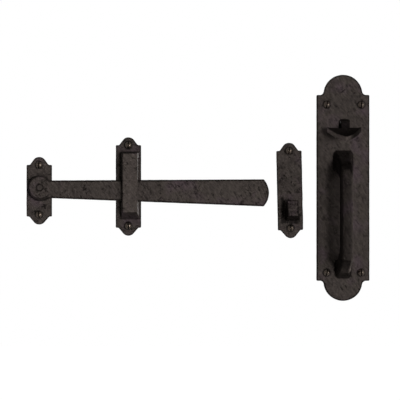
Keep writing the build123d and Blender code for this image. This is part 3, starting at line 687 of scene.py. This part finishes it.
def screw_tree():
    """Screws along +Z, each set with its head outwards on a point of the given mesh."""
    tree = bpy.data.node_groups.new("wood screws", "GeometryNodeTree")
    named_inputs(tree, [
        ("Geometry", "Geometry", None),
        ("Head Radius", "Float", 4.05 * MM),
        ("Head Height", "Float", 2.8 * MM),
        ("Slot Width", "Float", 1.4 * MM),
        ("Slot Depth", "Float", 1.9 * MM),
        ("Shank Length", "Float", 20 * MM),
        ("Crest Radius", "Float", 1.75 * MM),
        ("Root Radius", "Float", 1.25 * MM),
        ("Pitch", "Float", 1.8 * MM),
        ("Point Length", "Float", 5 * MM),
        ("Material", "Material", None),
    ])
    given = add(tree, "NodeGroupInput").outputs
    place = add(tree, "GeometryNodeInputPosition")
    parts = add(tree, "ShaderNodeSeparateXYZ", None, {0: place}).outputs

    # Head: a ball's lower half is pressed flat, and its upper half is squashed to the height.
    ball = add(tree, "GeometryNodeMeshUVSphere", None,
               {"Segments": 40, "Rings": 24, "Radius": given["Head Radius"]})
    squash = calc(tree, "DIVIDE", given["Head Height"], given["Head Radius"])
    above = calc(tree, "MAXIMUM", parts["Z"], 0.0)
    lower = calc(tree, "MULTIPLY", above, squash)
    pressed = add(tree, "ShaderNodeCombineXYZ", None,
                  {"X": parts["X"], "Y": parts["Y"], "Z": lower})
    dome = add(tree, "GeometryNodeSetPosition", None,
               {"Geometry": ball.outputs["Mesh"], "Position": pressed})
    twice = calc(tree, "MULTIPLY", given["Slot Depth"], 2.0)
    blade = add(tree, "ShaderNodeCombineXYZ", None,
                {"X": given["Slot Width"], "Y": 20 * MM, "Z": twice})
    box = add(tree, "GeometryNodeMeshCube", None, {"Size": blade})
    crown = add(tree, "ShaderNodeCombineXYZ", None, {"Z": given["Head Height"]})
    raised = add(tree, "GeometryNodeTransform", None,
                 {"Geometry": box.outputs["Mesh"], "Translation": crown})
    head = add(tree, "GeometryNodeMeshBoolean", {"operation": "DIFFERENCE", "solver": "EXACT"},
               {"Mesh 1": dome, "Mesh 2": raised})

    # Painted shade: the slot's floor is marked, so that the lacquer's material paints it near black
    # as the shade inside the slot.
    sideways = calc(tree, "ABSOLUTE", parts["X"])
    half_slot = calc(tree, "MULTIPLY_ADD", given["Slot Width"], 0.5, 0.02 * MM)
    in_slot = calc(tree, "LESS_THAN", sideways, half_slot)
    floor = calc(tree, "SUBTRACT", given["Head Height"], given["Slot Depth"])
    floor_top = calc(tree, "ADD", floor, 0.02 * MM)
    deep = calc(tree, "LESS_THAN", parts["Z"], floor_top)
    dirt = calc(tree, "MULTIPLY", in_slot, deep)
    with_slot_shade = add(tree, "GeometryNodeStoreNamedAttribute", {"domain": "POINT"},
                {"Geometry": head, "Name": "dirt", "Value": dirt})

    # Shank: a cylinder from 0 down, whose radius runs between root and crest as the thread winds.
    rod = add(tree, "GeometryNodeMeshCylinder", None,
              {"Vertices": 24, "Side Segments": 132, "Radius": given["Crest Radius"],
               "Depth": given["Shank Length"]})
    half = calc(tree, "MULTIPLY", given["Shank Length"], -0.5)
    sink = add(tree, "ShaderNodeCombineXYZ", None, {"Z": half})
    hung = add(tree, "GeometryNodeTransform", None,
               {"Geometry": rod.outputs["Mesh"], "Translation": sink})
    turn = calc(tree, "ARCTAN2", parts["Y"], parts["X"])
    turns = calc(tree, "DIVIDE", turn, 2 * pi)
    climbed = calc(tree, "DIVIDE", parts["Z"], given["Pitch"])
    phase = calc(tree, "ADD", climbed, turns)
    wave = calc(tree, "PINGPONG", phase, 0.5)
    crest = remap(tree, wave, old=(0.12, 0.5), new=(0.0, 1.0))
    started = remap(tree, parts["Z"], old=(-3.6 * MM, -5.6 * MM), new=(1.0, 0.0))
    full = calc(tree, "MAXIMUM", crest, started)
    radius = remap(tree, full, new=(given["Root Radius"], given["Crest Radius"]))
    from_tip = calc(tree, "ADD", parts["Z"], given["Shank Length"])
    point = remap(tree, from_tip, old=(0.0, given["Point Length"]), new=(0.03, 1.0))
    tapered = calc(tree, "MULTIPLY", radius, point)
    stretch = calc(tree, "DIVIDE", tapered, given["Crest Radius"])
    wound_x = calc(tree, "MULTIPLY", parts["X"], stretch)
    wound_y = calc(tree, "MULTIPLY", parts["Y"], stretch)
    wound = add(tree, "ShaderNodeCombineXYZ", None, {"X": wound_x, "Y": wound_y, "Z": parts["Z"]})
    shank = add(tree, "GeometryNodeSetPosition", None, {"Geometry": hung, "Position": wound})

    screw = add(tree, "GeometryNodeJoinGeometry")
    tree.links.new(shank.outputs[0], screw.inputs[0])
    tree.links.new(with_slot_shade.outputs[0], screw.inputs[0])
    slant = add(tree, "GeometryNodeInputNamedAttribute", {"data_type": "FLOAT"},
                {"Name": "slot turn"})
    tilt = add(tree, "ShaderNodeCombineXYZ", None,
               {"X": radians(90), "Y": slant.outputs["Attribute"]})
    set_out = add(tree, "GeometryNodeInstanceOnPoints", None,
                  {"Points": given["Geometry"], "Instance": screw, "Rotation": tilt})
    real = add(tree, "GeometryNodeRealizeInstances", None, {"Geometry": set_out})
    smooth = add(tree, "GeometryNodeSetShadeSmooth", None, {"Geometry": real})
    finished = add(tree, "GeometryNodeSetMaterial", None,
                   {"Geometry": smooth, "Material": given["Material"]})
    add(tree, "NodeGroupOutput", None, {0: finished})
    return tree


screws_tree = screw_tree()
print("screw tree has", len(screws_tree.nodes), "nodes")

# %% [markdown]
# Every screw was driven home by hand, so no two slots stand quite the same way.
# The points carry that as an attribute, and a screw's node of the model says where its head sits.

# %% Set the screws
slot_turns = {      # in degrees
    "pivot_screw_top": 4, "pivot_screw_bottom": -6,
    "guide_screw_top": 3, "guide_screw_bottom": -4,
    "catch_screw_top": 8, "catch_screw_bottom": -3,
    "handle_screw_top_left": 12, "handle_screw_top_right": 6,
    "handle_screw_bottom_left": 14, "handle_screw_bottom_right": -4,
}
screw_length = 20 * MM


def set_screws():
    """Make all ten screws as one piece on the plates' body."""
    mesh = bpy.data.meshes.new("wood_screws")
    points = []
    for name in slot_turns:
        low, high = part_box(name)
        points.append(((low.x + high.x) / 2, high.y - screw_length, (low.z + high.z) / 2))
    mesh.from_pydata(points, [], [])
    turns = mesh.attributes.new("slot turn", "FLOAT", "POINT")
    for item, degrees in zip(turns.data, slot_turns.values()):
        item.value = radians(degrees)
    piece = bpy.data.objects.new("wood_screws", mesh)
    bpy.context.scene.collection.objects.link(piece)
    rule = piece.modifiers.new("wood screws", "NODES")
    rule.node_group = screws_tree
    ids = socket_ids(screws_tree)
    rule[ids["Shank Length"]] = screw_length
    rule[ids["Material"]] = screw_steel
    made = plain_mesh(piece, "wood_screws")
    piece.modifiers.clear()
    piece.data = made
    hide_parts(*slot_turns)
    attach(piece, "plates")
    print("wood_screws has", sum(len(p.vertices) - 2 for p in made.polygons), "triangles")


set_screws()

# %% [markdown]
# ## The pin
# The hidden pin has the right shape already, so it keeps the model's mesh and only changes its
# material.

# %% Pin of the thumb lever
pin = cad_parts["thumb_pin"]
pin.data.materials.clear()
pin.data.materials.append(iron)
print(pin.name, "now wears", iron.name)

# %% [markdown]
# ## Studio
# The key lamp stands to the right of the camera, so that the grip throws its soft shadow just to
# the left. The fill lamp stands farther round to the right, where its slanting light draws the
# hammered relief. A weak rim lamp and a faint world keep the shadows readable, a lamp behind lights
# the backs, and the floor is pale. The background is white through the light path, for camera,
# glossy and transmission rays alike.

# %% World, floor and lamps
aim = Vector((-140, 0, 0)) * MM
world_fill = 0.045
floor_level = -0.95
floor_half_width = 6.0
lamps = {       # place and side in metres, power in watts
    "key": ((1.23, -3.76, -0.2), 0.7, 105),
    "fill": ((2.54, -2.97, 0.35), 1.4, 63),
    "rim": ((-2.6, -1.6, 0.3), 1.2, 3),
    "back": ((0.2, 1.6, 0.5), 1.2, 28),
}


def studio_world(fill):
    """A white background with a faint even fill light."""
    world = bpy.data.worlds.new("studio")
    bpy.context.scene.world = world
    tree = blank_tree(world)
    path = add(tree, "ShaderNodeLightPath").outputs
    seen = calc(tree, "MAXIMUM", path["Is Camera Ray"], path["Is Glossy Ray"])
    shown = calc(tree, "MAXIMUM", seen, path["Is Transmission Ray"])
    light = add(tree, "ShaderNodeBackground", None, {"Color": (1, 1, 1, 1), "Strength": fill})
    white = add(tree, "ShaderNodeBackground", None, {"Color": (1, 1, 1, 1), "Strength": 1.0})
    mixed = add(tree, "ShaderNodeMixShader", None, {0: shown, 1: light, 2: white})
    add(tree, "ShaderNodeOutputWorld", None, {"Surface": mixed})


def softbox(name, place, side, power):
    """A square lamp that faces the middle of the set."""
    lamp = bpy.data.objects.new(name, bpy.data.lights.new(name, "AREA"))
    lamp.data.size = side
    lamp.data.energy = power
    lamp.location = place
    lamp.rotation_euler = (aim - Vector(place)).to_track_quat("-Z", "Y").to_euler()
    lamp.visible_camera = False
    bpy.context.scene.collection.objects.link(lamp)


def pale_floor(level, size):
    """A wide white floor under the set."""
    mesh = bpy.data.meshes.new("floor")
    corners = [(-size, -size, level), (size, -size, level), (size, size, level),
               (-size, size, level)]
    mesh.from_pydata(corners, [], [(0, 1, 2, 3)])
    floor = bpy.data.objects.new("floor", mesh)
    bpy.context.scene.collection.objects.link(floor)
    material = bpy.data.materials.new("white paper floor")
    tree = blank_tree(material)
    path = add(tree, "ShaderNodeLightPath").outputs
    seen = calc(tree, "MAXIMUM", path["Is Camera Ray"], path["Is Glossy Ray"])
    paper = add(tree, "ShaderNodeBsdfDiffuse", None, {"Color": paint("#e8e8e8")})
    glow = add(tree, "ShaderNodeEmission", None, {"Color": (1, 1, 1, 1), "Strength": 0.97})
    lit = add(tree, "ShaderNodeAddShader", None, {0: paper, 1: glow})
    shown = calc(tree, "MAXIMUM", seen, path["Is Transmission Ray"])
    mixed = add(tree, "ShaderNodeMixShader", None, {0: shown, 1: paper, 2: lit})
    add(tree, "ShaderNodeOutputMaterial", None, {"Surface": mixed})
    mesh.materials.append(material)


studio_world(world_fill)
pale_floor(floor_level, floor_half_width)
for name, (place, side, power) in lamps.items():
    softbox(name, place, side, power)
bpy.context.scene.view_settings.view_transform = "Standard"
print("studio with the lamps", ", ".join(lamps))
